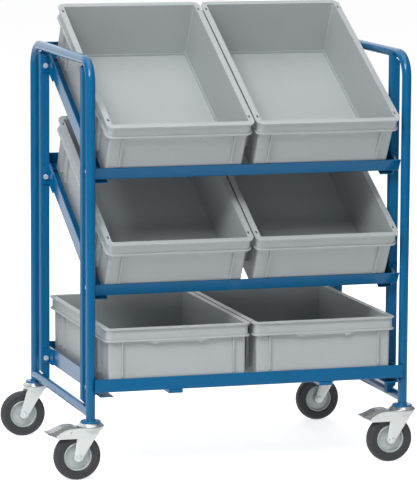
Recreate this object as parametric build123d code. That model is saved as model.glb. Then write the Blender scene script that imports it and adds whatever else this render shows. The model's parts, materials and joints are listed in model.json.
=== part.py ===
from build123d import *
import os
from math import asin, atan2, cos, radians, sin, sqrt, tan

# A rolling rack for six stacking boxes. Millimetres, +X right, +Y to the back, +Z up.
# Everything is drawn about the middle of the four posts on the floor. The finished
# pieces are then moved together, so that the origin is the bottom centre of the whole.

# Stacking boxes, whose standard footprint the frame is built around
box_width = 400.0
box_length = 600.0
box_height = 165.0
box_gap = 4.5                   # between the two boxes of a shelf
box_overhang = 8.0              # rim in front of the shelf's front flange
box_corner = 20.0
rim_thickness = 4.0
collar_height = 35.0            # rim, collar and lip together
collar_inset = 3.0
collar_wall = 3.0
lip_height = 4.5
lip_inset = 0.5
wall_inset = 12.5               # outer wall inside the rim's edge
wall_draft = 1.0
wall_thickness = 3.0
floor_thickness = 3.0
stacking_foot = 6.0             # height of the narrower foot that goes into the rim of a box below
rib_thickness = 4.0
rib_from_edge = 48.0            # rib nearest a corner, from the rim's side edge
rib_low = 38.0                  # ribs stop above the shelf's flange
rib_overlap = 0.5               # how far a rib goes into the collar
side_rib_from_end = 84.0        # first rib of a long side, from the rim's end
side_rib_pitch = 50.0           # second rib behind the first
grip_half_width = 62.0
grip_tab = 9.0                  # how far the tabs hang under the lip
grip_tab_width = 6.0
grip_tab_slope = 24.0
grip_thickness = 4.0
grip_setback = 1.0              # grip's face behind the lip's
slot_length = 12.0
slot_width = 5.0
slot_from_end = 37.0

# Tube hoops, cross bars and uprights
hoop_height = 1108.0            # floor to the top of the hoop
tube_diameter = 25.0
tube_wall = 2.0
bend_radius = 60.0              # centre line of the bent corners
cross_bar_height = 173.0        # floor to the bar's centre
upright_size = 25.0             # square tube
upright_wall = 2.0
upright_edge_radius = 3.0
upright_inset = 7.0             # upright centre line inside the hoop's plane
upright_setback = 76.5          # upright centre line to the post's, along the hoop
foot_diameter = 54.0
foot_thickness = 5.0
foot_chamfer = 1.5

# Shelf frames
shelf_tilt = 28.3               # the two upper shelves lean down to the front, degrees
top_shelf_height = 786.0        # ledge height at the front edge
middle_shelf_height = 480.4
bottom_shelf_height = 233.5
bottom_forward = 16.0           # middle of the bottom shelf in front of the posts' middle
tilted_back = 1.85              # middle of a leaning shelf behind the posts' middle
rail_size = 35.0                # equal angle at front and rear
rail_wall = 3.0
side_rail_width = 30.0
side_rail_height = 45.0
side_rail_drop = 16.0           # how far the side rail hangs below the ledge
front_rail_inset = 7.0          # end of a front rail inside the hoop's plane
runner_width = 38.0
runner_height = 10.0
runner_wall = 2.0
runner_outward = 5.75           # runner outside the middle of the box above it

# Brackets and their bolts
bracket_thickness = 4.0
bracket_reach = 42.0            # leg along the side rail, from the upright
bracket_setback = 3.5           # bracket's outer edge inside the upright's
bracket_corner = 4.0
bolt_diameter = 8.0
bolt_head_flats = 13.0
bolt_head_height = 5.3
nut_height = 6.5
bolt_end = 3.0                  # thread standing out of the nut

# Casters
caster_height = 150.0
wheel_diameter = 125.0
tyre_width = 32.0
tyre_seat_radius = 38.0
tread_flat = 8.0
shoulder_drop = 7.0
bead_height = 3.0
bead_step = 0.5
trail = 37.0                    # wheel axle behind the swivel axis
hub_width = 38.0
hub_radius = 13.5
rim_web = 14.0
rim_flange = 5.0                # turned edge that the tyre sits on, radial height
rim_setback = 2.0               # rim's edge inside the tyre's face
rim_edge = 1.5
hub_foot = 1.0
axle_radius = 5.0
sleeve_radius = 8.0
axle_head_flats = 17.0
axle_head_height = 5.0
fork_inside = 42.0
fork_wall = 3.0
fork_front = 30.0               # front of the crown, from the swivel axis
fork_back = 30.0                # back of a plain fork's crown, from the swivel axis
leg_end_radius = 13.0
fork_fold_radius = 11.0
crown_thickness = 4.0
race_radius = 33.0
race_height = 6.0
head_radius = 36.0
head_height = 10.0
head_wall = 3.0
head_slope = 8.0
king_pin_radius = 7.0
rivet_radius = 11.0
rivet_height = 4.0
stem_length = 55.0
ball_ring_inner = 18.0

# Foot brake of the front casters, places measured back from the swivel axis and up from the floor
arm_end = 97.0
arm_low = 112.5
arm_tip = 7.5                   # height of the arm's blunt end
arm_crest = 134.5
arm_crest_back = 74.0
arm_corner = 5.0
pin_radius = 3.0
pin_back = 58.0
pin_height = 129.5
pin_end = 1.0                   # pin standing out of the arm
pedal_gap = 0.5                 # pedal to each fork arm
pedal_plate = 2.5
pedal_front = 41.0
pedal_front_drop = 3.0          # front edge under the crest
pedal_crest = 145.5
pedal_crest_back = 62.0
pedal_bend = 4.0                # drop from the crest to where the pedal bends down
pedal_bend_back = 83.0
pedal_toe_back = 105.0
pedal_toe_rise = 3.0
pedal_reach = 120.0
pedal_tip_height = 129.0
pedal_tip_cut = 1.0
pedal_skirt_back = 92.0
pedal_skirt_low = 114.5
nose_back = 75.0
nose_low = 119.0
nose_width = 7.0
nose_gap = 1.0                  # nose to each skirt's outer face
tread_ribs = 7
tread_rib_radius = 1.2
tread_margin = 3.0

# Clearances
box_hoop_gap = 19.25            # side of a box to the hoop's tube
box_shelf_play = 5.0            # shelf longer than the box, at each end
post_setback = 6.5              # post's centre line inside the shelf's end
rail_post_gap = 1.5             # end of a rear rail to the post beside it
rail_upright_gap = 0.5          # side rail's outer face to the upright
bracket_flange_gap = 5.0        # bracket's end to the flange of a leaning shelf
stacking_gap = 1.0              # box's foot to the rim of the box below
weld_gap = 0.05                 # between welded or pressed curved faces
hole_gap = 0.2                  # bolt to its hole, on the radius
running_gap = 0.05              # shaft to bore, on the radius
swivel_gap = 0.5                # crown to the fixed head
race_gap = 0.3                  # ball ring and rivet to the crown
tyre_gap = 3.0                  # tyre to the fork web

# Worked out from the above
box_x = (box_width + box_gap) / 2
box_inside = wall_inset + wall_thickness
lip_low = box_height - collar_height
collar_inner = collar_inset + collar_wall
foot_inset = box_inside + stacking_gap
shelf_depth = box_length + 2 * box_shelf_play
tube_radius = tube_diameter / 2
hoop_x = box_width + box_gap / 2 + box_hoop_gap + tube_radius
post_y = shelf_depth / 2 - post_setback
top_axis = hoop_height - tube_radius
post_foot = caster_height + foot_thickness
upright_x = hoop_x - upright_inset
upright_y = post_y - upright_setback
side_rail_outer = upright_x - upright_size / 2 - rail_upright_gap
side_rail_inner = side_rail_outer - rail_wall
side_rail_top = side_rail_height - side_rail_drop
tilted_front = tilted_back - shelf_depth / 2 * cos(radians(shelf_tilt))
bottom_front = -shelf_depth / 2 - bottom_forward
front_rail_half = hoop_x - front_rail_inset
rear_rail_half = hoop_x - tube_radius - rail_post_gap
bracket_outer = upright_x + upright_size / 2 - bracket_setback
stem_radius = tube_radius - tube_wall - hole_gap
wheel_radius = wheel_diameter / 2
fork_half = fork_inside / 2 + fork_wall
crown_top = caster_height - head_height - swivel_gap
crown_low = crown_top - crown_thickness
dish_flat_radius = head_radius - head_wall / 2 - head_slope

sides = {"left": -1, "right": 1}
ends = {"front": -1, "rear": 1}
pieces = {}


class Shelf:
    """Place of one shelf frame: its front edge on the ledge, and its lean."""

    def __init__(self, front, height, tilt):
        self.front = front
        self.height = height
        self.tilt = radians(tilt)
        up = (0, -sin(self.tilt), cos(self.tilt))
        self.place = Plane(origin=(0, front, height), x_dir=(1, 0, 0), z_dir=up).location

    def ledge_at(self, y):
        return self.height + (y - self.front) * tan(self.tilt)


shelves = {
    "top": Shelf(tilted_front, top_shelf_height, shelf_tilt),
    "middle": Shelf(tilted_front, middle_shelf_height, shelf_tilt),
    "bottom": Shelf(bottom_front, bottom_shelf_height, 0),
}


def span(x, y, z):
    """Block between two limits along each axis."""
    middle = ((x[0] + x[1]) / 2, (y[0] + y[1]) / 2, (z[0] + z[1]) / 2)
    return Pos(*middle) * Box(abs(x[1] - x[0]), abs(y[1] - y[0]), abs(z[1] - z[0]))


def both_sides(shape):
    return mirror(shape, about=Plane.YZ)


def tube_section():
    return Circle(tube_radius) - Circle(tube_radius - tube_wall)


def hoop(side):
    x = side * hoop_x
    route = FilletPolyline(
        (x, -post_y, post_foot),
        (x, -post_y, top_axis),
        (x, post_y, top_axis),
        (x, post_y, post_foot),
        radius=bend_radius,
    )
    return sweep(Plane(origin=route @ 0, z_dir=route % 0) * tube_section(), path=route)


def cross_bar(side):
    """Bar between the posts, its ends saddle-cut to the round posts."""
    x = side * hoop_x
    start = Plane(origin=(x, -post_y, cross_bar_height), z_dir=(0, 1, 0))
    bar = extrude(start * tube_section(), amount=2 * post_y)
    for end in ends.values():
        bar -= Pos(x, end * post_y, cross_bar_height) * Cylinder(tube_radius + weld_gap, 4 * tube_radius)
    return bar


def upright(side, end):
    """Square tube whose ends are cut at 45 degrees to lie against the round tubes."""
    inner_edge = max(upright_edge_radius - upright_wall, 0.5)
    inner_size = upright_size - 2 * upright_wall
    outline = RectangleRounded(upright_size, upright_size, upright_edge_radius)
    outline -= RectangleRounded(inner_size, inner_size, inner_edge)
    start = Pos(upright_x, end * upright_y, cross_bar_height)
    tube = extrude(start * outline, amount=hoop_height - cross_bar_height)
    reach = (tube_radius + weld_gap) * sqrt(2)
    upper_cut = Plane(origin=(hoop_x, 0, top_axis - reach), z_dir=(1, 0, 1))
    lower_cut = Plane(origin=(hoop_x, 0, cross_bar_height + reach), z_dir=(1, 0, -1))
    tube = split(tube, bisect_by=upper_cut, keep=Keep.BOTTOM)
    tube = split(tube, bisect_by=lower_cut, keep=Keep.BOTTOM)
    for shelf in shelves.values():
        height = shelf.ledge_at(end * upright_y - upright_size / 2)
        drill = Cylinder(bolt_diameter / 2 + hole_gap, 2 * upright_size, rotation=(90, 0, 0))
        tube -= Pos(upright_x, end * upright_y, height) * drill
    return tube if side > 0 else both_sides(tube)


def foot_flange():
    disc = Cylinder(foot_diameter / 2, foot_thickness) - Cylinder(stem_radius + weld_gap, foot_thickness)
    outer_top = disc.edges().group_by(Axis.Z)[-1].sort_by(SortBy.LENGTH)[-1]
    return Pos(0, 0, caster_height + foot_thickness / 2) * chamfer(outer_top, foot_chamfer)


def caster_stem():
    return Pos(0, 0, caster_height + stem_length / 2) * Cylinder(stem_radius, stem_length)


def at_posts(shape):
    """Copies of one piece at the four posts."""
    return Compound([Pos(s * hoop_x, e * post_y, 0) * shape for s in sides.values() for e in ends.values()])


def front_rail(half):
    """Folded angle: flange up at the front edge, ledge inwards, ledge cut back between the side rails."""
    top = rail_size - rail_wall
    outline = Polyline(
        (0, -rail_wall), (rail_size, -rail_wall), (rail_size, 0), (rail_wall, 0), (rail_wall, top), (0, top),
        close=True,
    )
    section = make_face(outline)
    section = fillet(section.vertices().sort_by_distance((0, -rail_wall))[0], rail_wall)
    angle = extrude(Plane.YZ * section, amount=half, both=True)
    for side in sides.values():
        end = (side * side_rail_inner, side * (half + 1))
        angle -= span(end, (rail_wall, rail_size + 1), (-rail_wall - 1, 0))
    return angle


def rear_rail(half):
    """Same angle turned round, its flange at the back."""
    return mirror(front_rail(half), about=Plane(origin=(0, shelf_depth / 2, 0), z_dir=(0, 1, 0)))


def side_rail(side):
    """Folded angle from flange to flange, its web outside the ends of the front and rear ledges."""
    low = -side_rail_drop
    reach = side_rail_outer - side_rail_width
    outline = Polyline(
        (side_rail_outer, low), (side_rail_outer, side_rail_top), (side_rail_inner, side_rail_top),
        (side_rail_inner, low + rail_wall), (reach, low + rail_wall), (reach, low),
        close=True,
    )
    section = make_face(outline)
    section = fillet(section.vertices().sort_by_distance((side_rail_outer, low))[0], rail_wall)
    start = Plane(origin=(0, rail_wall, 0), x_dir=(1, 0, 0), z_dir=(0, -1, 0))
    rail = extrude(start * section, amount=-(shelf_depth - 2 * rail_wall))
    return rail if side > 0 else both_sides(rail)


def runner(side):
    """Shallow channel with closed ends, open side up under the ledges."""
    x = side * (box_x + runner_outward)
    half = runner_width / 2
    low = -rail_wall - runner_height
    shell = span((x - half, x + half), (0, shelf_depth), (low, -rail_wall))
    hollow = span(
        (x - half + runner_wall, x + half - runner_wall),
        (runner_wall, shelf_depth - runner_wall),
        (low + runner_wall, 0),
    )
    return shell - hollow


def fixings():
    """Side and front face of each upright, where a bracket is bolted on."""
    return [(s, e * upright_y - upright_size / 2) for s in sides.values() for e in ends.values()]


def bracket(shelf, side, face, height):
    """Folded plate as high as the side rail, one leg along it and one on the upright's front face."""
    leg = side_rail_outer + bracket_thickness
    front = face - bracket_thickness
    outline = Polyline(
        (side_rail_outer, face - bracket_reach), (leg, face - bracket_reach), (leg, front),
        (bracket_outer, front), (bracket_outer, face), (side_rail_outer, face),
        close=True,
    )
    section = make_face(outline)
    section = fillet(section.vertices().sort_by_distance((side_rail_outer, face))[0], bracket_thickness)
    blank = extrude(Pos(0, 0, height) * section, amount=2 * side_rail_height, both=True)
    across = (side_rail_outer - 1, bracket_outer + 1)
    along = (rail_wall + bracket_flange_gap, shelf_depth)
    plate = blank & (shelf.place * span(across, along, (-side_rail_drop, side_rail_top)))
    corners = plate.edges().group_by(Axis.X)[-1].sort_by(SortBy.LENGTH)[:2]
    plate = fillet(corners, bracket_corner)
    drill = Cylinder(bolt_diameter / 2 + hole_gap, 4 * bracket_thickness, rotation=(90, 0, 0))
    plate -= Pos(upright_x, face, height) * drill
    return plate if side > 0 else both_sides(plate)


def hexagon(flats, height):
    """Six-sided block standing along +Y from the origin."""
    start = Plane(origin=(0, 0, 0), z_dir=(0, 1, 0))
    return extrude(start * RegularPolygon(flats / 2, 6, major_radius=False), amount=height)


def rod(radius, length):
    """Round bar along +Y from the origin."""
    start = Plane(origin=(0, 0, 0), z_dir=(0, 1, 0))
    return extrude(start * Circle(radius), amount=length)


def shelf_bolt(side, face, height):
    grip = bracket_thickness + upright_size + nut_height + bolt_end
    bolt = Pos(0, -bolt_head_height, 0) * hexagon(bolt_head_flats, bolt_head_height)
    bolt += rod(bolt_diameter / 2, grip)
    return Pos(side * upright_x, face - bracket_thickness, height) * bolt


def shelf_nut(side, face, height):
    nut = hexagon(bolt_head_flats, nut_height) - rod(bolt_diameter / 2 + running_gap, nut_height)
    return Pos(side * upright_x, face + upright_size, height) * nut


def box_outline(inset, height):
    """Rounded outline of the box, drawn in from the rim's edge, at one height."""
    corner = max(box_corner - inset, wall_thickness)
    return Pos(0, 0, height) * RectangleRounded(box_width - 2 * inset, box_length - 2 * inset, corner)


def box_block(inset, low, high):
    return extrude(box_outline(inset, low), amount=high - low)


def box_ring(inset, low, high):
    """Band of the collar: from an inset face in to the hollow behind the collar."""
    return box_block(inset, low, high) - box_block(collar_inner, low, high)


def drafted(inset, low):
    """Block up to the rim's top, a little narrower at its lower end."""
    return loft([box_outline(inset + wall_draft, low), box_outline(inset, box_height)], ruled=True)


def grip():
    """Deeper lip with a hanging tab at each end, where two hands lift the box."""
    outer = grip_half_width + grip_tab_slope
    inner = grip_half_width - grip_tab_width
    tab_low = lip_low - grip_tab
    outline = Polyline(
        (-outer, lip_low), (-grip_half_width, tab_low), (-inner, tab_low), (-inner, lip_low - grip_thickness),
        (inner, lip_low - grip_thickness), (inner, tab_low), (grip_half_width, tab_low), (outer, lip_low),
        close=True,
    )
    back = box_length / 2 - collar_inner
    front = box_length / 2 - lip_inset - grip_setback
    start = Plane(origin=(0, -back, 0), x_dir=(1, 0, 0), z_dir=(0, -1, 0))
    return extrude(start * make_face(outline), amount=front - back)


def box_ribs():
    """Upright ribs on the four walls, from just above the shelf's flange up behind the collar."""
    outer_inset = collar_inner - rib_overlap
    depth = wall_inset + wall_thickness / 2 - outer_inset
    tall = (rib_low, box_height - rim_thickness)
    half = rib_thickness / 2
    end_x = box_width / 2 - rib_from_edge
    first_y = box_length / 2 - side_rib_from_end
    ribs = []
    for end in ends.values():
        end_face = end * (box_length / 2 - outer_inset)
        for side in sides.values():
            x = side * end_x
            ribs.append(span((x - half, x + half), (end_face - end * depth, end_face), tall))
            side_face = side * (box_width / 2 - outer_inset)
            for back in (0, side_rib_pitch):
                y = end * (first_y - back)
                ribs.append(span((side_face - side * depth, side_face), (y - half, y + half), tall))
    return ribs


def rim_slots():
    """Round-ended slots through the rim of the long sides, into the hollow behind the collar."""
    x = box_width / 2 - (collar_inner + wall_inset) / 2
    y = box_length / 2 - slot_from_end
    slot = extrude(Rot(0, 0, 90) * SlotOverall(slot_length, slot_width), amount=2 * rim_thickness)
    low = box_height - 2 * rim_thickness
    return [Pos(side * x, end * y, low) * slot for side in sides.values() for end in ends.values()]


def stacking_box():
    """Moulded box: drafted walls on a narrower foot, and a rim whose hanging collar is hollow from below."""
    rim_low = box_height - rim_thickness
    box = box_block(foot_inset, 0, stacking_foot + wall_thickness) + drafted(wall_inset, stacking_foot)
    box += box_ring(lip_inset, lip_low, lip_low + lip_height)
    box += box_ring(collar_inset, lip_low, rim_low)
    box += box_block(0, rim_low, box_height)
    box += box_ribs()
    box += [grip(), mirror(grip(), about=Plane.XZ)]
    box -= drafted(box_inside, stacking_foot + wall_thickness)
    box -= box_block(foot_inset + wall_thickness, floor_thickness, stacking_foot + 2 * wall_thickness)
    return box - rim_slots()


def swivel_head():
    """Fixed dish of the swivel with the king pin and its rivet head, turned about the swivel axis."""
    dish_low = caster_height - head_height
    plate_low = caster_height - head_wall
    rivet_top = crown_low - race_gap
    rivet_low = rivet_top - rivet_height
    outline = Polyline(
        (0, caster_height), (head_radius - head_slope, caster_height), (head_radius, dish_low + head_wall),
        (head_radius, dish_low), (head_radius - head_wall, dish_low),
        (head_radius - head_wall, dish_low + head_wall / 2), (dish_flat_radius, plate_low),
        (king_pin_radius, plate_low), (king_pin_radius, rivet_top), (rivet_radius, rivet_top),
        (rivet_radius, rivet_low + rivet_height / 2), (king_pin_radius, rivet_low), (0, rivet_low),
        close=True,
    )
    return revolve(Plane.XZ * make_face(outline), axis=Axis.Z)


def ball_ring():
    low = crown_top + race_gap
    high = caster_height - head_wall
    ring = Cylinder(dish_flat_radius - swivel_gap, high - low) - Cylinder(ball_ring_inner, high - low)
    return Pos(0, 0, (low + high) / 2) * ring


def front_edge():
    """Direction of the fork's front edge: from the crown's front, touching the leg's round end."""
    run = -trail - fork_front
    drop = wheel_radius - crown_top
    angle = atan2(drop, run) + asin(leg_end_radius / sqrt(run ** 2 + drop ** 2))
    return Vector(cos(angle), 0, sin(angle))


def leg_outline():
    """Side view of a leg: wide at the crown, round at the axle."""
    end = Pos(-trail, wheel_radius) * Circle(leg_end_radius)
    crown = Line((-fork_back, crown_top), (fork_front, crown_top))
    return make_hull([*end.edges(), crown])


def arm_outline():
    """Side view of the arm that reaches back over the wheel to carry the brake pedal."""
    root = -fork_back + arm_corner
    tip = (-arm_end, arm_low + arm_tip)
    top = Spline(tip, (-arm_crest_back, arm_crest), (root, crown_top), tangents=[(1, 1), (1, 0)])
    lower = Polyline(top @ 1, (root, arm_low), (-arm_end + arm_corner, arm_low), top @ 0)
    return make_face([top, lower])


def fold_front(block, radius):
    """Round the two long front edges, where the legs are folded back from the web."""
    along = front_edge()
    return fillet([e for e in block.edges() if abs((e % 0.5).dot(along)) > 0.9999], radius)


def fork_space():
    """Room between the legs: behind the web and under the crown."""
    along = front_edge()
    inward = Vector(along.Z, 0, -along.X)
    start = Vector(fork_front, 0, crown_top) + inward * fork_wall
    upper = start + along * ((crown_low - start.Z) / along.Z)
    lower = start + along * ((-wheel_radius - start.Z) / along.Z)
    back = -trail - 2 * wheel_radius
    corners = [(upper.X, crown_low), (lower.X, lower.Z), (back, lower.Z), (back, crown_low)]
    outline = Polyline(*corners, close=True)
    block = extrude(Plane.XZ * make_face(outline), amount=fork_inside / 2, both=True)
    return fold_front(block, fork_fold_radius - fork_wall)


def fork(braked):
    """Pressed fork: crown, two legs folded back from a front web, and arms where it carries a brake."""
    outline = leg_outline()
    if braked:
        outline += arm_outline()
    blank = fold_front(extrude(Plane.XZ * outline, amount=fork_half, both=True), fork_fold_radius)
    blank -= fork_space()
    behind_crown = (-trail - 2 * wheel_radius, -fork_back - arm_corner)
    blank -= span(behind_crown, (-fork_inside / 2, fork_inside / 2), (0, caster_height))
    blank += Pos(0, 0, crown_top - race_height / 2) * Cylinder(race_radius, race_height)
    wheel_room = rod(wheel_radius + tyre_gap, fork_inside)
    blank -= Pos(-trail, -fork_inside / 2, wheel_radius) * wheel_room
    blank -= Pos(0, 0, crown_top) * Cylinder(king_pin_radius + running_gap, 4 * race_height)
    blank -= Pos(0, 0, crown_low - race_height) * Cylinder(rivet_radius + race_gap, 2 * race_height)
    blank -= Pos(-trail, -fork_half, wheel_radius) * rod(axle_radius + running_gap, 2 * fork_half)
    if braked:
        blank -= Pos(-pin_back, -fork_half, pin_height) * rod(pin_radius + running_gap, 2 * fork_half)
    return blank


def axle():
    """Axle bolt with its head and nut outside the legs, and the sleeve that the hub turns on."""
    bolt = Pos(0, -fork_half - axle_head_height, 0) * hexagon(axle_head_flats, axle_head_height)
    bolt += Pos(0, fork_half, 0) * hexagon(axle_head_flats, axle_head_height)
    bolt += Pos(0, -fork_half - axle_head_height - bolt_end / 2, 0) * rod(
        axle_radius, 2 * fork_half + 2 * axle_head_height + bolt_end
    )
    bolt += Pos(0, -fork_inside / 2, 0) * rod(sleeve_radius, fork_inside)
    return Pos(-trail, 0, wheel_radius) * bolt


def turned_about_axle(half_outline):
    """Wheel piece from half its section: radius and distance from the wheel's middle plane."""
    section = make_face(half_outline)
    section += mirror(section, about=Plane.XZ)
    return Pos(-trail, 0, wheel_radius) * revolve(section, axis=Axis.Y)


def wheel_rim():
    """Dished disc between a hub tube and the turned edge that holds the tyre."""
    bore = sleeve_radius + running_gap
    seat = tyre_seat_radius - weld_gap
    half_web = rim_web / 2
    half_rim = tyre_width / 2 - rim_setback
    flange = seat - rim_flange
    return turned_about_axle(Polyline(
        (bore, 0), (bore, hub_width / 2), (hub_radius, hub_width / 2),
        (hub_radius + hub_foot, half_web + hub_foot), (flange - rim_edge, half_web), (flange, half_rim),
        (seat - rim_edge, half_rim), (seat, half_rim - rim_edge), (seat, 0),
        close=True,
    ))


def tyre():
    half = tyre_width / 2
    shoulder = wheel_radius - shoulder_drop
    crown = TangentArc((wheel_radius, tread_flat / 2), (shoulder, half), tangent=(0, 1))
    inside = Polyline(
        (shoulder, half), (tyre_seat_radius + bead_height, half - bead_step),
        (tyre_seat_radius, half - bead_height), (tyre_seat_radius, 0), (wheel_radius, 0),
        (wheel_radius, tread_flat / 2),
    )
    return turned_about_axle([crown, inside])


def pedal_top():
    """Line of the pedal's top plate, from under the head over the crest to the toe."""
    return Spline(
        (-pedal_front, pedal_crest - pedal_front_drop),
        (-pedal_crest_back, pedal_crest),
        (-pedal_bend_back, pedal_crest - pedal_bend),
        (-pedal_toe_back, pedal_tip_height + pedal_toe_rise),
        (-pedal_reach, pedal_tip_height),
    )


def pedal_outline():
    """Side view of the pedal: crest over the arms, toe at the back, skirt down beside the tyre."""
    top = pedal_top()
    skirt = Polyline(
        top @ 1,
        (-pedal_reach + pedal_tip_cut, pedal_tip_height - pedal_plate),
        (-pedal_skirt_back, pedal_skirt_low),
        (-pin_back - pin_radius, pin_height - 2 * pin_radius),
        (-pin_back + 2 * pin_radius, pin_height - pin_radius),
        (-pedal_front, pedal_crest - pedal_front_drop - pedal_plate),
        top @ 0,
    )
    return make_face([top, skirt])


def brake_pedal():
    """Pressed pedal with side skirts, tread ribs on top and a brake nose over the tyre."""
    half = fork_inside / 2 - pedal_gap
    outline = Plane.XZ * pedal_outline()
    blank = extrude(outline, amount=half, both=True)
    nose = span(
        (-nose_back - nose_width / 2, -nose_back + nose_width / 2),
        (-half + nose_gap, half - nose_gap),
        (nose_low, pedal_crest - 2 * pedal_plate),
    )
    pedal = blank - Pos(0, 0, -pedal_plate) * extrude(outline, amount=half - pedal_plate, both=True)
    pedal += nose & blank
    for step in range(tread_ribs):
        crest = pedal_top() @ ((step + 2.5) / (tread_ribs + 2))
        rib = rod(tread_rib_radius, 2 * (half - tread_margin))
        pedal += Pos(crest.X, -half + tread_margin, crest.Y) * rib
    pedal -= Pos(-pin_back, -half, pin_height) * rod(pin_radius + running_gap, 2 * half)
    return pedal


def pedal_pin():
    return Pos(-pin_back, -fork_half - pin_end, pin_height) * rod(pin_radius, 2 * (fork_half + pin_end))


def build_frame():
    for side_name, side in sides.items():
        pieces[f"hoop_{side_name}"] = hoop(side)
        pieces[f"cross_bar_{side_name}"] = cross_bar(side)
        for end_name, end in ends.items():
            pieces[f"upright_{end_name}_{side_name}"] = upright(side, end)
    pieces["foot_flanges"] = at_posts(foot_flange())


def build_shelves():
    bolts = []
    nuts = []
    for name, shelf in shelves.items():
        pieces[f"{name}_front_rail"] = shelf.place * front_rail(front_rail_half)
        pieces[f"{name}_rear_rail"] = shelf.place * rear_rail(rear_rail_half)
        for side_name, side in sides.items():
            pieces[f"{name}_{side_name}_rail"] = shelf.place * side_rail(side)
        spots = [(side, face, shelf.ledge_at(face)) for side, face in fixings()]
        pieces[f"{name}_brackets"] = Compound([bracket(shelf, *spot) for spot in spots])
        bolts += [shelf_bolt(*spot) for spot in spots]
        nuts += [shelf_nut(*spot) for spot in spots]
    runners = [shelves["bottom"].place * runner(side) for side in sides.values()]
    pieces["bottom_runners"] = Compound(runners)
    pieces["shelf_bolts"] = Compound(bolts)
    pieces["shelf_nuts"] = Compound(nuts)


def build_boxes():
    box = stacking_box()
    middle = box_length / 2 - box_overhang
    for name, shelf in shelves.items():
        for side_name, side in sides.items():
            pieces[f"{name}_box_{side_name}"] = shelf.place * Pos(side * box_x, middle, 0) * box


def build_casters():
    pieces["caster_stems"] = at_posts(caster_stem())
    pieces["swivel_ball_rings"] = at_posts(ball_ring())
    for end_name, end in ends.items():
        braked = end_name == "front"
        for side_name, side in sides.items():
            spot = f"{end_name}_{side_name}"
            place = Pos(side * hoop_x, end * post_y, 0)
            pieces[f"swivel_head_{spot}"] = place * swivel_head()
            pieces[f"fork_{spot}"] = place * fork(braked)
            pieces[f"axle_{spot}"] = place * axle()
            pieces[f"wheel_rim_{spot}"] = place * wheel_rim()
            pieces[f"tyre_{spot}"] = place * tyre()
            if braked:
                pieces[f"brake_pedal_{spot}"] = place * brake_pedal()
                pieces[f"pedal_pin_{spot}"] = place * pedal_pin()


def export_pieces():
    """Move the whole to its bottom centre and write one file per piece."""
    boxes = [shape.bounding_box() for shape in pieces.values()]
    low = [min(b.min.X for b in boxes), min(b.min.Y for b in boxes), min(b.min.Z for b in boxes)]
    high = [max(b.max.X for b in boxes), max(b.max.Y for b in boxes)]
    shift = Pos(-(low[0] + high[0]) / 2, -(low[1] + high[1]) / 2, -low[2])
    print("moved by", [round(v, 4) for v in shift.position])
    os.makedirs("parts", exist_ok=True)
    for name, shape in pieces.items():
        export_step(shift * shape, f"parts/{name}.step")


build_frame()
build_shelves()
build_boxes()
build_casters()
export_pieces()
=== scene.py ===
import json
from functools import partial
from math import hypot, radians

import bpy
from mathutils import Matrix, Vector

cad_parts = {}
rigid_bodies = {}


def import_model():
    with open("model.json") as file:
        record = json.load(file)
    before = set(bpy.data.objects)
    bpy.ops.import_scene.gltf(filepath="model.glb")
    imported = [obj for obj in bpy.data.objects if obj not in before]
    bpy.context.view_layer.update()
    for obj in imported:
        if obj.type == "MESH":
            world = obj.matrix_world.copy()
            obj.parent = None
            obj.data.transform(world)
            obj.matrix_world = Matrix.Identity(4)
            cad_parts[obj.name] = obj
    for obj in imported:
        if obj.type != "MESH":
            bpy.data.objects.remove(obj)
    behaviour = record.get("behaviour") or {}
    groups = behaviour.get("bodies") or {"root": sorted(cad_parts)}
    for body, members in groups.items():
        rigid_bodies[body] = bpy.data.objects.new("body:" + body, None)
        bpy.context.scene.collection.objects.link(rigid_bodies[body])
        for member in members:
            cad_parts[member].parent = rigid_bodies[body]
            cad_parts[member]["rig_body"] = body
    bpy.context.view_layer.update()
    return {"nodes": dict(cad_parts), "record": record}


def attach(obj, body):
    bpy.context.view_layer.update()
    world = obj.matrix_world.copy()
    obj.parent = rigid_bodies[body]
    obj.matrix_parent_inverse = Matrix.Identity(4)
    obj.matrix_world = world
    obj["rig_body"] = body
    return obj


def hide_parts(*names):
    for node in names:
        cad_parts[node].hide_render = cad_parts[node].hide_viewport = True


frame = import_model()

bl_info = {
    "name": "Box Trolley Looks",
    "version": (1, 0, 0),
    "blender": (4, 5, 0),
    "location": "View3D > Sidebar > Box Trolley",
    "description": "Finishes the pieces of a box trolley and sets up its studio",
    "category": "Object",
}

MM = 0.001
SIDES = ("left", "right")
ENDS = ("front", "rear")
SHELVES = ("top", "middle", "bottom")
SPOTS = [f"{end}_{side}" for end in ENDS for side in SIDES]
SLOT_OF = {part["node"]: part["material_slot"] for part in frame["record"]["subparts"]}
JOINTS = {joint["name"]: joint for joint in frame["record"]["behaviour"]["joints"]}

# Places on a box: radius of the rim's corners, then the collar and the lip under it,
# measured inwards from the rim's edge and upwards from the foot
BOX_CORNER = 20 * MM
COLLAR_INSET = 3 * MM
LIP_INSET = 0.5 * MM
LIP_TOP = 134.5 * MM

# Places on a caster: radii of the axle's bore, of the leg ends around it and of the post,
# and the underside of the arms
AXLE_BORE = 6 * MM
LEG_END = 13 * MM
POST_RADIUS = 12.5 * MM
ARM_LOW = 112.5 * MM

# Rings on the faces of a wheel, by their radius and their distance from its middle plane
RIM_ROLL = [(35 * MM, 13.4 * MM)]
TYRE_RIDGES = [(43.5 * MM, 15.2 * MM), (53 * MM, 15.7 * MM)]

# How near a corner of a mesh is to the place that is looked for, and how little an upright wall leans
CLOSE = 0.2 * MM
UPRIGHT = 0.05

# Corners nearer than this are one, and faces with less than this angle between them are one flat face
SAME_CORNER = 0.002 * MM
FLAT = radians(0.3)

# Edges with a sharper fold than these are rounded, and stay sharp in the shading
ROUNDED_EDGE = radians(30)
SHARP_EDGE = radians(38)

# Steps across a rounded edge, across the slope of the lip, along a ring and around its section
EDGE_STEPS = 2
LIP_STEPS = 3
RING_STEPS = 72
RING_SECTION_STEPS = 16

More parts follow.
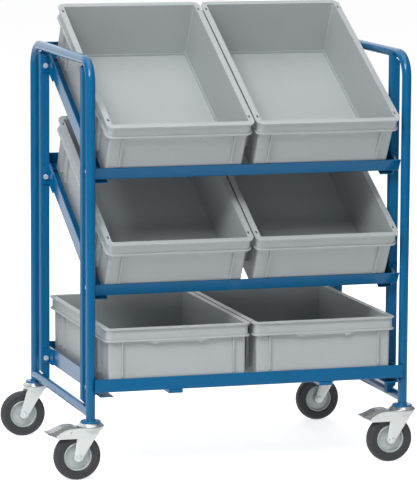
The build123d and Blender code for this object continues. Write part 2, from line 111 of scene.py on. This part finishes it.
# Lamps in metres: where each stands, and the width and height of its panel
CEILING_LAMP = ((-0.5, -1.0, 4.6), (4.0, 4.0))
KEY_LAMP = ((-2.8, -3.7, 4.7), (2.5, 2.5))
FRONT_LAMP = ((-1.2, -6.0, 0.6), (4.0, 0.6))
SIDE_LAMP = ((-4.5, -0.8, 1.0), (2.0, 1.5))
BACK_LAMP = ((1.5, 4.5, 2.5), (3.0, 3.0))
LAMP_AIM = Vector((0, 0, 0.6))

# White sweep in glossy paint: where it begins and where it is full, from front to back, and half its width,
# in metres on the floor and as a direction past the floor, and the share of the width over which it fades
FLOOR_SWEEP = {"near": -2.5, "far": 0.9, "half_width": 3.7}
SURROUND_SWEEP = {"near": -0.3, "far": 0.6, "half_width": 0.6}
SWEEP_FADE = 0.25

# How far the camera sees, in metres
SIGHT = 200

# Sockets of the Mix node for colours and for numbers, which share their names
MIX_A, MIX_B, MIXED = 6, 7, 2
NUMBER_A, NUMBER_B, NUMBER = 2, 3, 0


def linear(code):
    """Linear colour with alpha from an sRGB hex value."""
    shares = [int(code[i:i + 2], 16) / 255 for i in (1, 3, 5)]
    return [v / 12.92 if v <= 0.04045 else ((v + 0.055) / 1.055) ** 2.4 for v in shares] + [1.0]


def colour(name, code, description):
    """Setting for a colour."""
    return bpy.props.FloatVectorProperty(
        name=name, description=description, subtype="COLOR", size=4, min=0, max=1, default=linear(code),
    )


def length(name, millimetres, description):
    """Setting for a length."""
    return bpy.props.FloatProperty(
        name=name, description=description, subtype="DISTANCE", unit="LENGTH", default=millimetres * MM,
    )


def angle(name, degrees, description):
    """Setting for an angle."""
    return bpy.props.FloatProperty(
        name=name, description=description, subtype="ANGLE", default=radians(degrees),
    )


def power(name, watts, description):
    """Setting for the power of a lamp."""
    return bpy.props.FloatProperty(name=name, description=description, unit="POWER", default=watts)


def brightness(name, level, description):
    """Setting for the brightness of what shines by itself."""
    return bpy.props.FloatProperty(name=name, description=description, default=level)


class TrolleyFinishes(bpy.types.PropertyGroup):
    """Colours of the trolley's materials."""

    paint: colour("Powder coat", "#005E8E", "Blue of the painted steel frame")
    box: colour("Box plastic", "#AAAFB1", "Grey of the moulded boxes")
    zinc: colour("Zinc plate", "#EEF1F2", "Plated pressings of the casters")
    dish_zinc: colour("Polished zinc", "#C9CED2", "Turned dishes of the swivel heads")
    # Brake pedals: the forks' plated zinc in a darker tone, with more metal in its shine
    darker_zinc: colour("Darker zinc", "#ADB0B2", "Brake pedals, in a darker zinc")
    bright_zinc: colour("Bright zinc", "#E6EAEE", "Bolts, nuts and axles")
    wheel: colour("Wheel steel", "#BDC4C6", "Discs of the wheels")
    rubber: colour("Tyre rubber", "#3A3D40", "Solid tyres")


class TrolleyEdges(bpy.types.PropertyGroup):
    """Radii of the pieces' edges, and sizes of the small forms that are worked into the pieces."""

    tube: length("Tube edge", 0.5, "Cut ends of the tubes")
    sheet: length("Sheet edge", 0.6, "Painted edges of folded rails and brackets")
    moulding: length("Moulded edge", 0.8, "Edges of the plastic boxes")
    pressing: length("Pressed edge", 0.7, "Edges of the caster pressings, discs and tyres")
    fastener: length("Fastener edge", 0.4, "Edges of bolt heads, nuts, axles and pins")
    collar_sink: length("Collar sink", 2.4, "How much further the boxes' collars are set back")
    lip_slope: length("Lip slope", 2.2, "Sloped upper edge of the lip under each collar")
    ledge_reach: length("Ledge reach", 7, "How much further the side rails' flanges go in under the boxes")
    leg_end: length("Leg end", 16, "Radius of the forks' round leg ends")
    leg_top: length("Leg top", 8, "How much wider the legs are under the arms")
    tyre_ridge: length("Tyre ridge", 0.9, "Half width of the moulded rings on the tyres")
    rim_roll: length("Rim roll", 1.8, "Half width of the rolled edge around each wheel disc")
    foot_weld: length("Foot weld", 2.2, "Half width of the welds around the feet of the posts")


class TrolleyStage(bpy.types.PropertyGroup):
    """Camera, floor and lamps."""

    floor: colour("Floor", "#ECEDED", "Pale studio floor")
    floor_glow: brightness("Floor glow", 0.72, "White that the camera adds to the floor")
    floor_size: length("Floor size", 40000, "Side of the square floor")
    camera_place: bpy.props.FloatVectorProperty(
        name="Camera place", description="Where the photograph was taken from", subtype="TRANSLATION",
        unit="LENGTH", default=(-2.5172, -8.2673, 1.8049),
    )
    camera_yaw: angle("Camera yaw", -17.041, "Turn of the view from straight ahead")
    camera_pitch: angle("Camera pitch", 8.083, "How far the view looks down")
    camera_roll: angle("Camera roll", 0.321, "Lean of the camera")
    lens: bpy.props.FloatProperty(name="Lens", description="Focal length", unit="CAMERA", default=240.9)
    ceiling: power("Ceiling lamp", 75, "Lamp above")
    key: power("Key lamp", 225, "High lamp at the front left")
    front: power("Front lamp", 46, "Low fill in front")
    side: power("Side lamp", 24, "Low fill at the left")
    back: power("Back lamp", 70, "Fill behind the trolley")
    surround: brightness("Surround", 0.3, "Even light from all around")
    sweep: brightness("Sweep", 1.2, "Backdrop, as glossy paint mirrors it")
    dark: brightness("Dark front", 0.12, "Unlit front and sides, as glossy paint mirrors them")


def add_node(tree, kind, inputs=None, **settings):
    """Add one node, set its options, and set or link its inputs."""
    node = tree.nodes.new(kind)
    for name, value in settings.items():
        setattr(node, name, value)
    for name, value in (inputs or {}).items():
        if isinstance(value, bpy.types.NodeSocket):
            tree.links.new(value, node.inputs[name])
        else:
            node.inputs[name].default_value = value
    return node


def per(millimetres):
    """Scale of a pattern whose features are this wide."""
    return 1 / (millimetres * MM)


def shade(rgba, factor):
    """Colour made darker or lighter."""
    return [min(c * factor, 1.0) for c in rgba[:3]] + [1.0]


def new_material(name):
    """Empty material and its node tree."""
    material = bpy.data.materials.new(name)
    material.use_nodes = True
    material.node_tree.nodes.clear()
    return material, material.node_tree


def powder_coat(rgba, name="Powder coated steel", low=0.13, high=0.2, ior=1.5):
    """Powder coated steel: one even skin, with a faint orange peel that breaks up the highlights."""
    material, tree = new_material(name)
    place = add_node(tree, "ShaderNodeTexCoord").outputs["Object"]
    drift = add_node(tree, "ShaderNodeTexNoise", {"Vector": place, "Scale": per(160), "Detail": 2.0})
    # Orange peel is about 1 mm wide; it is drawn 4 mm wide so that it shows
    peel = add_node(tree, "ShaderNodeTexNoise", {"Vector": place, "Scale": per(4), "Detail": 1.0})
    tone = add_node(tree, "ShaderNodeMix", {
        "Factor": drift.outputs["Fac"], MIX_A: shade(rgba, 0.93), MIX_B: shade(rgba, 1.07),
    }, data_type="RGBA")
    gloss = add_node(tree, "ShaderNodeMapRange", {
        "Value": peel.outputs["Fac"], "To Min": low, "To Max": high,
    })
    relief = add_node(tree, "ShaderNodeBump", {
        "Height": peel.outputs["Fac"], "Strength": 0.12, "Distance": 0.2 * MM,
    })
    skin = add_node(tree, "ShaderNodeBsdfPrincipled", {
        "Base Color": tone.outputs[MIXED], "Roughness": gloss.outputs["Result"],
        "Normal": relief.outputs["Normal"], "IOR": ior,
    })
    add_node(tree, "ShaderNodeOutputMaterial", {"Surface": skin.outputs["BSDF"]})
    return material


def polypropylene(rgba):
    """Injection moulded polypropylene: satin, a little cloudy, with the fine grain of the mould."""
    material, tree = new_material("Moulded polypropylene")
    place = add_node(tree, "ShaderNodeTexCoord").outputs["Object"]
    cloud = add_node(tree, "ShaderNodeTexNoise", {"Vector": place, "Scale": per(90), "Detail": 3.0})
    # Mould grain is about 0.3 mm wide; it is drawn 1.5 mm wide so that it shows
    grain = add_node(tree, "ShaderNodeTexNoise", {"Vector": place, "Scale": per(1.5), "Detail": 2.0})
    tone = add_node(tree, "ShaderNodeMix", {
        "Factor": cloud.outputs["Fac"], MIX_A: shade(rgba, 0.95), MIX_B: shade(rgba, 1.05),
    }, data_type="RGBA")
    satin = add_node(tree, "ShaderNodeMapRange", {
        "Value": cloud.outputs["Fac"], "To Min": 0.40, "To Max": 0.52,
    })
    relief = add_node(tree, "ShaderNodeBump", {
        "Height": grain.outputs["Fac"], "Strength": 0.1, "Distance": 0.1 * MM,
    })
    skin = add_node(tree, "ShaderNodeBsdfPrincipled", {
        "Base Color": tone.outputs[MIXED], "Roughness": satin.outputs["Result"],
        "Normal": relief.outputs["Normal"], "IOR": 1.49,
    })
    add_node(tree, "ShaderNodeOutputMaterial", {"Surface": skin.outputs["BSDF"]})
    return material


def zinc_plate(rgba, name="Zinc plated steel", low=0.26, high=0.42, metal=0.35):
    """Electroplated zinc: bright metal with faintly cloudy, blue and yellow tinged patches."""
    material, tree = new_material(name)
    place = add_node(tree, "ShaderNodeTexCoord").outputs["Object"]
    cloud = add_node(tree, "ShaderNodeTexNoise", {"Vector": place, "Scale": per(14), "Detail": 4.0})
    tinge = add_node(tree, "ShaderNodeTexNoise", {"Vector": place, "Scale": per(30), "Detail": 1.0})
    bluish = [rgba[0] * 0.93, rgba[1] * 0.97, rgba[2], 1.0]
    yellowish = [rgba[0], rgba[1] * 0.98, rgba[2] * 0.91, 1.0]
    tone = add_node(tree, "ShaderNodeMix", {
        "Factor": tinge.outputs["Fac"], MIX_A: bluish, MIX_B: yellowish,
    }, data_type="RGBA")
    gloss = add_node(tree, "ShaderNodeMapRange", {
        "Value": cloud.outputs["Fac"], "To Min": low, "To Max": high,
    })
    relief = add_node(tree, "ShaderNodeBump", {
        "Height": cloud.outputs["Fac"], "Strength": 0.05, "Distance": 0.2 * MM,
    })
    skin = add_node(tree, "ShaderNodeBsdfPrincipled", {
        "Base Color": tone.outputs[MIXED], "Roughness": gloss.outputs["Result"],
        "Normal": relief.outputs["Normal"], "Metallic": metal,
    })
    add_node(tree, "ShaderNodeOutputMaterial", {"Surface": skin.outputs["BSDF"]})
    return material


def wheel_steel(rgba):
    """Pressed steel disc with a satin grey finish: soft, slightly uneven reflections."""
    material, tree = new_material("Satin wheel steel")
    place = add_node(tree, "ShaderNodeTexCoord").outputs["Object"]
    cloud = add_node(tree, "ShaderNodeTexNoise", {"Vector": place, "Scale": per(10), "Detail": 3.0})
    tone = add_node(tree, "ShaderNodeMix", {
        "Factor": cloud.outputs["Fac"], MIX_A: shade(rgba, 0.92), MIX_B: shade(rgba, 1.06),
    }, data_type="RGBA")
    gloss = add_node(tree, "ShaderNodeMapRange", {
        "Value": cloud.outputs["Fac"], "To Min": 0.36, "To Max": 0.5,
    })
    skin = add_node(tree, "ShaderNodeBsdfPrincipled", {
        "Base Color": tone.outputs[MIXED], "Roughness": gloss.outputs["Result"], "Metallic": 0.3,
    })
    add_node(tree, "ShaderNodeOutputMaterial", {"Surface": skin.outputs["BSDF"]})
    return material


def tyre_rubber(rgba):
    """Moulded solid rubber: matt, with a dusty bloom and a fine skin texture."""
    material, tree = new_material("Solid tyre rubber")
    place = add_node(tree, "ShaderNodeTexCoord").outputs["Object"]
    bloom = add_node(tree, "ShaderNodeTexNoise", {"Vector": place, "Scale": per(22), "Detail": 4.0})
    # Rubber skin is about 0.2 mm fine; it is drawn 1 mm wide so that it shows
    skin_grain = add_node(tree, "ShaderNodeTexNoise", {"Vector": place, "Scale": per(1), "Detail": 2.0})
    tone = add_node(tree, "ShaderNodeMix", {
        "Factor": bloom.outputs["Fac"], MIX_A: shade(rgba, 0.86), MIX_B: shade(rgba, 1.16),
    }, data_type="RGBA")
    matt = add_node(tree, "ShaderNodeMapRange", {
        "Value": bloom.outputs["Fac"], "To Min": 0.52, "To Max": 0.68,
    })
    relief = add_node(tree, "ShaderNodeBump", {
        "Height": skin_grain.outputs["Fac"], "Strength": 0.2, "Distance": 0.1 * MM,
    })
    skin = add_node(tree, "ShaderNodeBsdfPrincipled", {
        "Base Color": tone.outputs[MIXED], "Roughness": matt.outputs["Result"],
        "Normal": relief.outputs["Normal"], "IOR": 1.52,
    })
    add_node(tree, "ShaderNodeOutputMaterial", {"Surface": skin.outputs["BSDF"]})
    return material


MATERIALS = {}


def material_for(finish):
    """Material of one slot of the record, or a variant of it for some pieces, made at its first use."""
    tones = bpy.context.scene.trolley_finishes
    makers = {
        "blue_powder_coat": partial(powder_coat, tones.paint),
        "satin_coat": partial(
            powder_coat, tones.paint, "Satin powder coated steel", low=0.45, high=0.55, ior=1.33,
        ),
        "box_grey": partial(polypropylene, tones.box),
        "zinc_plate": partial(zinc_plate, tones.zinc),
        "dish_zinc": partial(zinc_plate, tones.dish_zinc, "Polished zinc", low=0.14, high=0.26, metal=0.85),
        "darker_zinc": partial(zinc_plate, tones.darker_zinc, "Darker zinc", low=0.2, high=0.36, metal=0.85),
        "bright_zinc": partial(zinc_plate, tones.bright_zinc, "Bright zinc", low=0.16, high=0.3, metal=0.5),
        "wheel_steel": partial(wheel_steel, tones.wheel),
        "tyre_rubber": partial(tyre_rubber, tones.rubber),
    }
    if finish not in MATERIALS:
        MATERIALS[finish] = makers[finish]()
    return MATERIALS[finish]


def wear_material(piece, finish):
    """Give all faces of a piece the one material."""
    piece.data.materials.clear()
    piece.data.materials.append(material_for(finish))
    piece.data.polygons.foreach_set("material_index", [0] * len(piece.data.polygons))


def only(piece):
    """Make this the one selected and active object."""
    bpy.ops.object.select_all(action="DESELECT")
    piece.select_set(True)
    bpy.context.view_layer.objects.active = piece


def apply_modifier(piece, kind, **settings):
    """Add a modifier to the active piece, set it and apply it."""
    bpy.ops.object.modifier_add(type=kind)
    modifier = piece.modifiers[-1]
    for name, value in settings.items():
        setattr(modifier, name, value)
    bpy.ops.object.modifier_apply(modifier=modifier.name)


def finish_piece(node, edge, shape=None, finish=None):
    """Stand-in for a CAD node with its flat faces joined, its edges rounded and its material on."""
    source = frame["nodes"][node]
    slot = SLOT_OF[node]
    wear_material(source, finish or slot)
    piece = bpy.data.objects.new(f"{node}_finished", source.data.copy())
    bpy.context.scene.collection.objects.link(piece)
    only(piece)
    bpy.ops.object.mode_set(mode="EDIT")
    bpy.ops.mesh.select_all(action="SELECT")
    bpy.ops.mesh.remove_doubles(threshold=SAME_CORNER)
    bpy.ops.mesh.dissolve_limited(angle_limit=FLAT)
    bpy.ops.object.mode_set(mode="OBJECT")
    if shape:
        shape(piece)
        # New faces have no material yet
        wear_material(piece, finish or slot)
    apply_modifier(
        piece, "BEVEL", width=edge, segments=EDGE_STEPS, limit_method="ANGLE", angle_limit=ROUNDED_EDGE,
    )
    # Faces with five corners or more are cut up here, so that every program shows them alike
    apply_modifier(piece, "TRIANGULATE", min_vertices=5)
    bpy.ops.object.shade_smooth_by_angle(angle=SHARP_EDGE)
    apply_modifier(piece, "WEIGHTED_NORMAL", keep_sharp=True)
    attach(piece, source["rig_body"])
    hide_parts(node)


class BoxPlace:
    """Where a box stands, to find places on it by their height and by their inset from the rim's edge."""

    def __init__(self, node, vertices):
        self.up = Vector(JOINTS[f"{node}_lift"]["axis"])
        self.along = Vector((0, self.up.z, -self.up.y))
        across = [vertex.co.x for vertex in vertices]
        along = [self.along.dot(vertex.co) for vertex in vertices]
        self.foot = min(self.up.dot(vertex.co) for vertex in vertices)
        self.middle = ((min(across) + max(across)) / 2, (min(along) + max(along)) / 2)
        self.half = ((max(across) - min(across)) / 2, (max(along) - min(along)) / 2)

    def height(self, point):
        """Height above the foot of the box."""
        return self.up.dot(point) - self.foot

    def inset(self, point):
        """Distance inwards from the outline of the rim, which has round corners."""
        from_side = self.half[0] - abs(point.x - self.middle[0])
        from_end = self.half[1] - abs(self.along.dot(point) - self.middle[1])
        if max(from_side, from_end) < BOX_CORNER:
            return BOX_CORNER - hypot(BOX_CORNER - from_side, BOX_CORNER - from_end)
        return min(from_side, from_end)


def select_parts(piece, kind, wanted):
    """Go into edit mode with just the wanted faces, edges or corners selected."""
    only(piece)
    bpy.ops.object.mode_set(mode="EDIT")
    bpy.ops.mesh.select_mode(type=kind)
    bpy.ops.mesh.select_all(action="DESELECT")
    bpy.ops.object.mode_set(mode="OBJECT")
    parts = {"FACE": piece.data.polygons, "EDGE": piece.data.edges, "VERT": piece.data.vertices}[kind]
    chosen = [part for part in parts if wanted(part)]
    if not chosen:
        raise ValueError(f"{piece.name}: nothing found to work on")
    for part in chosen:
        part.select = True
    bpy.ops.object.mode_set(mode="EDIT")


def mould_collar(piece, node):
    """Set the collar's face back between rim and lip, and slope the lip's upper edge, as they are moulded."""
    edges = bpy.context.scene.trolley_edges
    place = BoxPlace(node, piece.data.vertices)

    def corners(part):
        return [piece.data.vertices[i].co for i in part.vertices]

    def inset_by(part, inset):
        return all(abs(place.inset(corner) - inset) < CLOSE for corner in corners(part))

    def on_collar(face):
        return abs(place.up.dot(face.normal)) < UPRIGHT and inset_by(face, COLLAR_INSET)

    def on_lip(edge):
        level = all(abs(place.height(corner) - LIP_TOP) < CLOSE for corner in corners(edge))
        return level and inset_by(edge, LIP_INSET)

    select_parts(piece, "FACE", on_collar)
    bpy.ops.mesh.extrude_region_shrink_fatten(TRANSFORM_OT_shrink_fatten={"value": -edges.collar_sink})
    bpy.ops.object.mode_set(mode="OBJECT")
    select_parts(piece, "EDGE", on_lip)
    bpy.ops.mesh.bevel(offset=edges.lip_slope, segments=LIP_STEPS, affect="EDGES")
    bpy.ops.object.mode_set(mode="OBJECT")


def joint_place(name):
    """Where a joint of the record is."""
    return Vector(JOINTS[name]["pos_m"])


def widen_ledge(piece, side):
    """Take the lower flange of a side rail further in, so that no light shows between it and the boxes."""
    reach = bpy.context.scene.trolley_edges.ledge_reach
    across = [vertex.co.x for vertex in piece.data.vertices]
    inner, way = (max(across), 1) if side == "left" else (min(across), -1)
    select_parts(piece, "VERT", lambda vertex: abs(vertex.co.x - inner) < CLOSE)
    bpy.ops.transform.translate(value=(way * reach, 0, 0))
    bpy.ops.object.mode_set(mode="OBJECT")


def broaden_legs(piece, spot):
    """Widen the round ends of a fork's legs and, where it has a brake, the legs' tops under its arms."""
    edges = bpy.context.scene.trolley_edges
    axle = joint_place(f"wheel_spin_{spot}")
    share = edges.leg_end / LEG_END

    def on_end(vertex):
        reach = hypot(vertex.co.x - axle.x, vertex.co.z - axle.z)
        return AXLE_BORE < reach < LEG_END + CLOSE

    def under_arm(vertex):
        return abs(vertex.co.z - ARM_LOW) < CLOSE and abs(vertex.co.x - axle.x) < LEG_END

    select_parts(piece, "VERT", on_end)
    bpy.ops.transform.resize(value=(share, 1, share), center_override=axle)
    bpy.ops.object.mode_set(mode="OBJECT")
    if spot.startswith("front"):
        select_parts(piece, "VERT", under_arm)
        bpy.ops.transform.translate(value=(-edges.leg_top, 0, 0))
        bpy.ops.object.mode_set(mode="OBJECT")


def add_rings(piece, rings, turn):
    """Add round ridges to a piece, each with its middle, its radius and its half width."""
    only(piece)
    bpy.ops.object.mode_set(mode="EDIT")
    for middle, radius, half_width in rings:
        bpy.ops.mesh.primitive_torus_add(
            location=middle, rotation=(turn, 0, 0), major_radius=radius, minor_radius=half_width,
            major_segments=RING_STEPS, minor_segments=RING_SECTION_STEPS,
        )
    bpy.ops.object.mode_set(mode="OBJECT")


def wheel_rings(piece, spot, places, half_width):
    """Add the same rings to both faces of a wheel, at the given radii and distances from its middle plane."""
    axle = joint_place(f"wheel_spin_{spot}")
    rings = []
    for radius, out in places:
        for way in (-1, 1):
            rings.append((axle + Vector((0, way * out, 0)), radius, half_width))
    add_rings(piece, rings, radians(90))


def weld_feet(piece):
    """Add the welds between the posts and the flanges at their feet."""
    weld = bpy.context.scene.trolley_edges.foot_weld
    top = max(vertex.co.z for vertex in piece.data.vertices)
    feet = [joint_place(f"swivel_{spot}") for spot in SPOTS]
    add_rings(piece, [(Vector((foot.x, foot.y, top)), POST_RADIUS, weld) for foot in feet], 0)


class TROLLEY_OT_frame(bpy.types.Operator):
    """Finish the hoops, cross bars, uprights and foot flanges"""

    bl_idname = "trolley.frame"
    bl_label = "Finish the tube frame"

    def execute(self, context):
        edge = context.scene.trolley_edges.tube
        for side in SIDES:
            finish_piece(f"hoop_{side}", edge)
            finish_piece(f"cross_bar_{side}", edge)
        for spot in SPOTS:
            finish_piece(f"upright_{spot}", edge, finish="satin_coat")
        finish_piece("foot_flanges", edge, shape=weld_feet)
        return {"FINISHED"}


class TROLLEY_OT_shelves(bpy.types.Operator):
    """Finish the rails, runners and brackets of the three shelves"""

    bl_idname = "trolley.shelves"
    bl_label = "Finish the shelves"

    def execute(self, context):
        edge = context.scene.trolley_edges.sheet
        for shelf in SHELVES:
            for end in ENDS:
                finish_piece(f"{shelf}_{end}_rail", edge)
            for side in SIDES:
                finish_piece(f"{shelf}_{side}_rail", edge, shape=partial(widen_ledge, side=side))
            finish_piece(f"{shelf}_brackets", edge)
        finish_piece("bottom_runners", edge)
        return {"FINISHED"}


class TROLLEY_OT_fasteners(bpy.types.Operator):
    """Finish the bolts and nuts that hold the shelves"""

    bl_idname = "trolley.fasteners"
    bl_label = "Finish the bolts and nuts"

    def execute(self, context):
        edge = context.scene.trolley_edges.fastener
        finish_piece("shelf_bolts", edge)
        finish_piece("shelf_nuts", edge)
        return {"FINISHED"}


class TROLLEY_OT_boxes(bpy.types.Operator):
    """Finish the six stacking boxes"""

    bl_idname = "trolley.boxes"
    bl_label = "Finish the boxes"

    def execute(self, context):
        edge = context.scene.trolley_edges.moulding
        for shelf in SHELVES:
            for side in SIDES:
                node = f"{shelf}_box_{side}"
                finish_piece(node, edge, shape=partial(mould_collar, node=node))
        return {"FINISHED"}


class TROLLEY_OT_casters(bpy.types.Operator):
    """Finish the swivel heads, forks, axles and foot brakes"""

    bl_idname = "trolley.casters"
    bl_label = "Finish the casters"

    def execute(self, context):
        edges = context.scene.trolley_edges
        for spot in SPOTS:
            finish_piece(f"swivel_head_{spot}", edges.pressing, finish="dish_zinc")
            finish_piece(f"fork_{spot}", edges.pressing, shape=partial(broaden_legs, spot=spot))
            finish_piece(f"axle_{spot}", edges.fastener)
        for side in SIDES:
            # The brake pedals wear the darker tone of the forks' zinc
            finish_piece(f"brake_pedal_front_{side}", edges.pressing, finish="darker_zinc")
            finish_piece(f"pedal_pin_front_{side}", edges.fastener)
        for node in ("caster_stems", "swivel_ball_rings"):
            wear_material(frame["nodes"][node], SLOT_OF[node])
        return {"FINISHED"}


class TROLLEY_OT_wheels(bpy.types.Operator):
    """Finish the wheel discs and tyres"""

    bl_idname = "trolley.wheels"
    bl_label = "Finish the wheels"

    def execute(self, context):
        edges = context.scene.trolley_edges
        for spot in SPOTS:
            roll = partial(wheel_rings, spot=spot, places=RIM_ROLL, half_width=edges.rim_roll)
            ridges = partial(wheel_rings, spot=spot, places=TYRE_RIDGES, half_width=edges.tyre_ridge)
            finish_piece(f"wheel_rim_{spot}", edges.pressing, shape=roll)
            finish_piece(f"tyre_{spot}", edges.pressing, shape=ridges)
        return {"FINISHED"}


def brighter_to_the_back(tree, place, stage, near, far, half_width):
    """Brightness that glossy paint mirrors: a white sweep behind the trolley, dark beside it and in front."""
    axes = add_node(tree, "ShaderNodeSeparateXYZ", {"Vector": place})
    aside = add_node(tree, "ShaderNodeMath", {0: axes.outputs["X"]}, operation="ABSOLUTE")
    back = add_node(tree, "ShaderNodeMapRange", {
        "Value": axes.outputs["Y"], "From Min": near, "From Max": far,
    }, interpolation_type="SMOOTHSTEP")
    middle = add_node(tree, "ShaderNodeMapRange", {
        "Value": aside.outputs["Value"], "To Min": 1.0, "To Max": 0.0,
        "From Min": (1 - SWEEP_FADE) * half_width, "From Max": (1 + SWEEP_FADE) * half_width,
    }, interpolation_type="SMOOTHSTEP")
    share = add_node(tree, "ShaderNodeMath", {
        0: back.outputs["Result"], 1: middle.outputs["Result"],
    }, operation="MULTIPLY")
    return add_node(tree, "ShaderNodeMapRange", {
        "Value": share.outputs["Value"], "To Min": stage.dark, "To Max": stage.sweep,
    }).outputs["Result"]


def studio_floor(stage):
    """Pale floor that takes the shadows, seen as a white sweep by the camera and in glossy paint."""
    material, tree = new_material("Studio floor")
    place = add_node(tree, "ShaderNodeTexCoord").outputs["Object"]
    matt = add_node(tree, "ShaderNodeBsdfDiffuse", {"Color": list(stage.floor)})
    white = add_node(tree, "ShaderNodeEmission", {"Strength": stage.floor_glow})
    lit = add_node(tree, "ShaderNodeAddShader", {0: matt.outputs["BSDF"], 1: white.outputs["Emission"]})
    mirrored = add_node(tree, "ShaderNodeEmission", {
        "Strength": brighter_to_the_back(tree, place, stage, **FLOOR_SWEEP),
    })
    rays = add_node(tree, "ShaderNodeLightPath")
    glossy = add_node(tree, "ShaderNodeMixShader", {
        "Fac": rays.outputs["Is Glossy Ray"], 1: matt.outputs["BSDF"], 2: mirrored.outputs["Emission"],
    })
    seen = add_node(tree, "ShaderNodeMixShader", {
        "Fac": rays.outputs["Is Camera Ray"], 1: glossy.outputs["Shader"], 2: lit.outputs["Shader"],
    })
    add_node(tree, "ShaderNodeOutputMaterial", {"Surface": seen.outputs["Shader"]})
    return material


def white_surround(stage):
    """Even soft light, white where the camera looks past the floor, darker to the front in glossy paint."""
    world = bpy.data.worlds.new("White studio")
    world.use_nodes = True
    tree = world.node_tree
    tree.nodes.clear()
    direction = add_node(tree, "ShaderNodeTexCoord").outputs["Generated"]
    rays = add_node(tree, "ShaderNodeLightPath")
    mirrored = brighter_to_the_back(tree, direction, stage, **SURROUND_SWEEP)
    soft = add_node(tree, "ShaderNodeMix", {
        "Factor": rays.outputs["Is Glossy Ray"], NUMBER_A: stage.surround, NUMBER_B: mirrored,
    })
    level = add_node(tree, "ShaderNodeMix", {
        "Factor": rays.outputs["Is Camera Ray"], NUMBER_A: soft.outputs[NUMBER], NUMBER_B: 1.0,
    })
    glow = add_node(tree, "ShaderNodeBackground", {"Color": (1, 1, 1, 1), "Strength": level.outputs[NUMBER]})
    add_node(tree, "ShaderNodeOutputWorld", {"Surface": glow.outputs["Background"]})
    bpy.context.scene.world = world


def add_lamp(name, place, size, watts):
    """Wide soft lamp at a place, turned to the middle of the trolley."""
    bpy.ops.object.light_add(type="AREA", location=place)
    lamp = bpy.context.object
    lamp.name = name
    lamp.data.shape = "RECTANGLE"
    lamp.data.size, lamp.data.size_y = size
    lamp.data.energy = watts
    aim = LAMP_AIM - Vector(place)
    lamp.rotation_euler = aim.to_track_quat("-Z", "Y").to_euler()
    return lamp


class TROLLEY_OT_stage(bpy.types.Operator):
    """Set the floor, the soft studio light and the camera of the photograph"""

    bl_idname = "trolley.stage"
    bl_label = "Set the stage"

    def execute(self, context):
        stage = context.scene.trolley_stage
        bpy.ops.object.select_all(action="DESELECT")
        bpy.ops.mesh.primitive_plane_add(size=stage.floor_size)
        floor = context.object
        floor.name = "studio_floor"
        floor.data.materials.append(studio_floor(stage))
        white_surround(stage)
        self.add_lamps(stage)
        self.add_camera(context, stage)
        context.scene.view_settings.view_transform = "Standard"
        return {"FINISHED"}

    def add_lamps(self, stage):
        """Ceiling and key lamp, and fills that glossy paint doesn't mirror."""
        add_lamp("ceiling_lamp", *CEILING_LAMP, stage.ceiling)
        add_lamp("key_lamp", *KEY_LAMP, stage.key)
        fills = (
            add_lamp("front_lamp", *FRONT_LAMP, stage.front),
            add_lamp("side_lamp", *SIDE_LAMP, stage.side),
            add_lamp("back_lamp", *BACK_LAMP, stage.back),
        )
        for lamp in fills:
            lamp.visible_glossy = False

    def add_camera(self, context, stage):
        """Camera where the photograph was taken."""
        bpy.ops.object.camera_add()
        camera = context.object
        camera.name = "photo_camera"
        camera.data.lens = stage.lens
        camera.data.clip_end = SIGHT
        turn = Matrix.Rotation(stage.camera_yaw, 4, "Z")
        tilt = Matrix.Rotation(radians(90) - stage.camera_pitch, 4, "X")
        lean = Matrix.Rotation(stage.camera_roll, 4, "Z")
        camera.matrix_world = Matrix.Translation(stage.camera_place) @ turn @ tilt @ lean
        context.scene.camera = camera


OPERATORS = (
    TROLLEY_OT_frame, TROLLEY_OT_shelves, TROLLEY_OT_fasteners, TROLLEY_OT_boxes, TROLLEY_OT_casters,
    TROLLEY_OT_wheels, TROLLEY_OT_stage,
)
SETTINGS = {
    "trolley_finishes": TrolleyFinishes,
    "trolley_edges": TrolleyEdges,
    "trolley_stage": TrolleyStage,
}


class TROLLEY_PT_looks(bpy.types.Panel):
    """Steps and settings of the trolley's looks"""

    bl_idname = "TROLLEY_PT_looks"
    bl_label = "Box Trolley"
    bl_space_type = "VIEW_3D"
    bl_region_type = "UI"
    bl_category = "Box Trolley"

    def draw(self, context):
        for operator in OPERATORS:
            self.layout.operator(operator.bl_idname)
        for name, group in SETTINGS.items():
            box = self.layout.box()
            for setting in group.__annotations__:
                box.prop(getattr(context.scene, name), setting)


CLASSES = tuple(SETTINGS.values()) + OPERATORS + (TROLLEY_PT_looks,)


def register():
    for cls in CLASSES:
        bpy.utils.register_class(cls)
    for name, group in SETTINGS.items():
        setattr(bpy.types.Scene, name, bpy.props.PointerProperty(type=group))


def unregister():
    for name in SETTINGS:
        delattr(bpy.types.Scene, name)
    for cls in reversed(CLASSES):
        bpy.utils.unregister_class(cls)


def main():
    register()
    bpy.ops.trolley.frame()
    bpy.ops.trolley.shelves()
    bpy.ops.trolley.fasteners()
    bpy.ops.trolley.boxes()
    bpy.ops.trolley.casters()
    bpy.ops.trolley.wheels()
    bpy.ops.trolley.stage()


if __name__ == "__main__":
    main()
